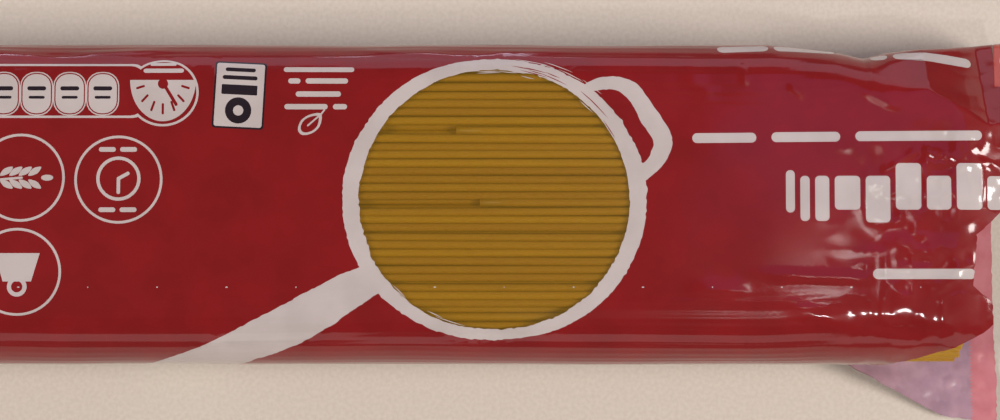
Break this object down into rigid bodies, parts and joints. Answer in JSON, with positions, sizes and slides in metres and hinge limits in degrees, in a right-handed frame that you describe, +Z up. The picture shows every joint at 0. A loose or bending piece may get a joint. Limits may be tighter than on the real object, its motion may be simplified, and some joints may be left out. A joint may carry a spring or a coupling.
{
  "type": "pasta packet",
  "caption": "Long, soft packet of spaghetti lying on its back panel: a red printed film bag with a clear round window, sealed at one end and torn open at the other.",
  "frame": {"origin": "on the resting plane, under the middle of the bounding box", "axes": "+X along the packet from the sealed end to the torn end, +Z up out of the printed front, +Y across"},
  "size_m": [0.3, 0.0946, 0.03],
  "materials": {
    "printed_film": "glossy reverse-printed plastic film, deep red with white line art",
    "dry_pasta": "dry golden durum pasta, fine satin grain"
  },
  "bodies": {
    "root": {"film_bag": "printed_film", "spaghetti_bundle": "dry_pasta"}
  },
  "joints": []
}
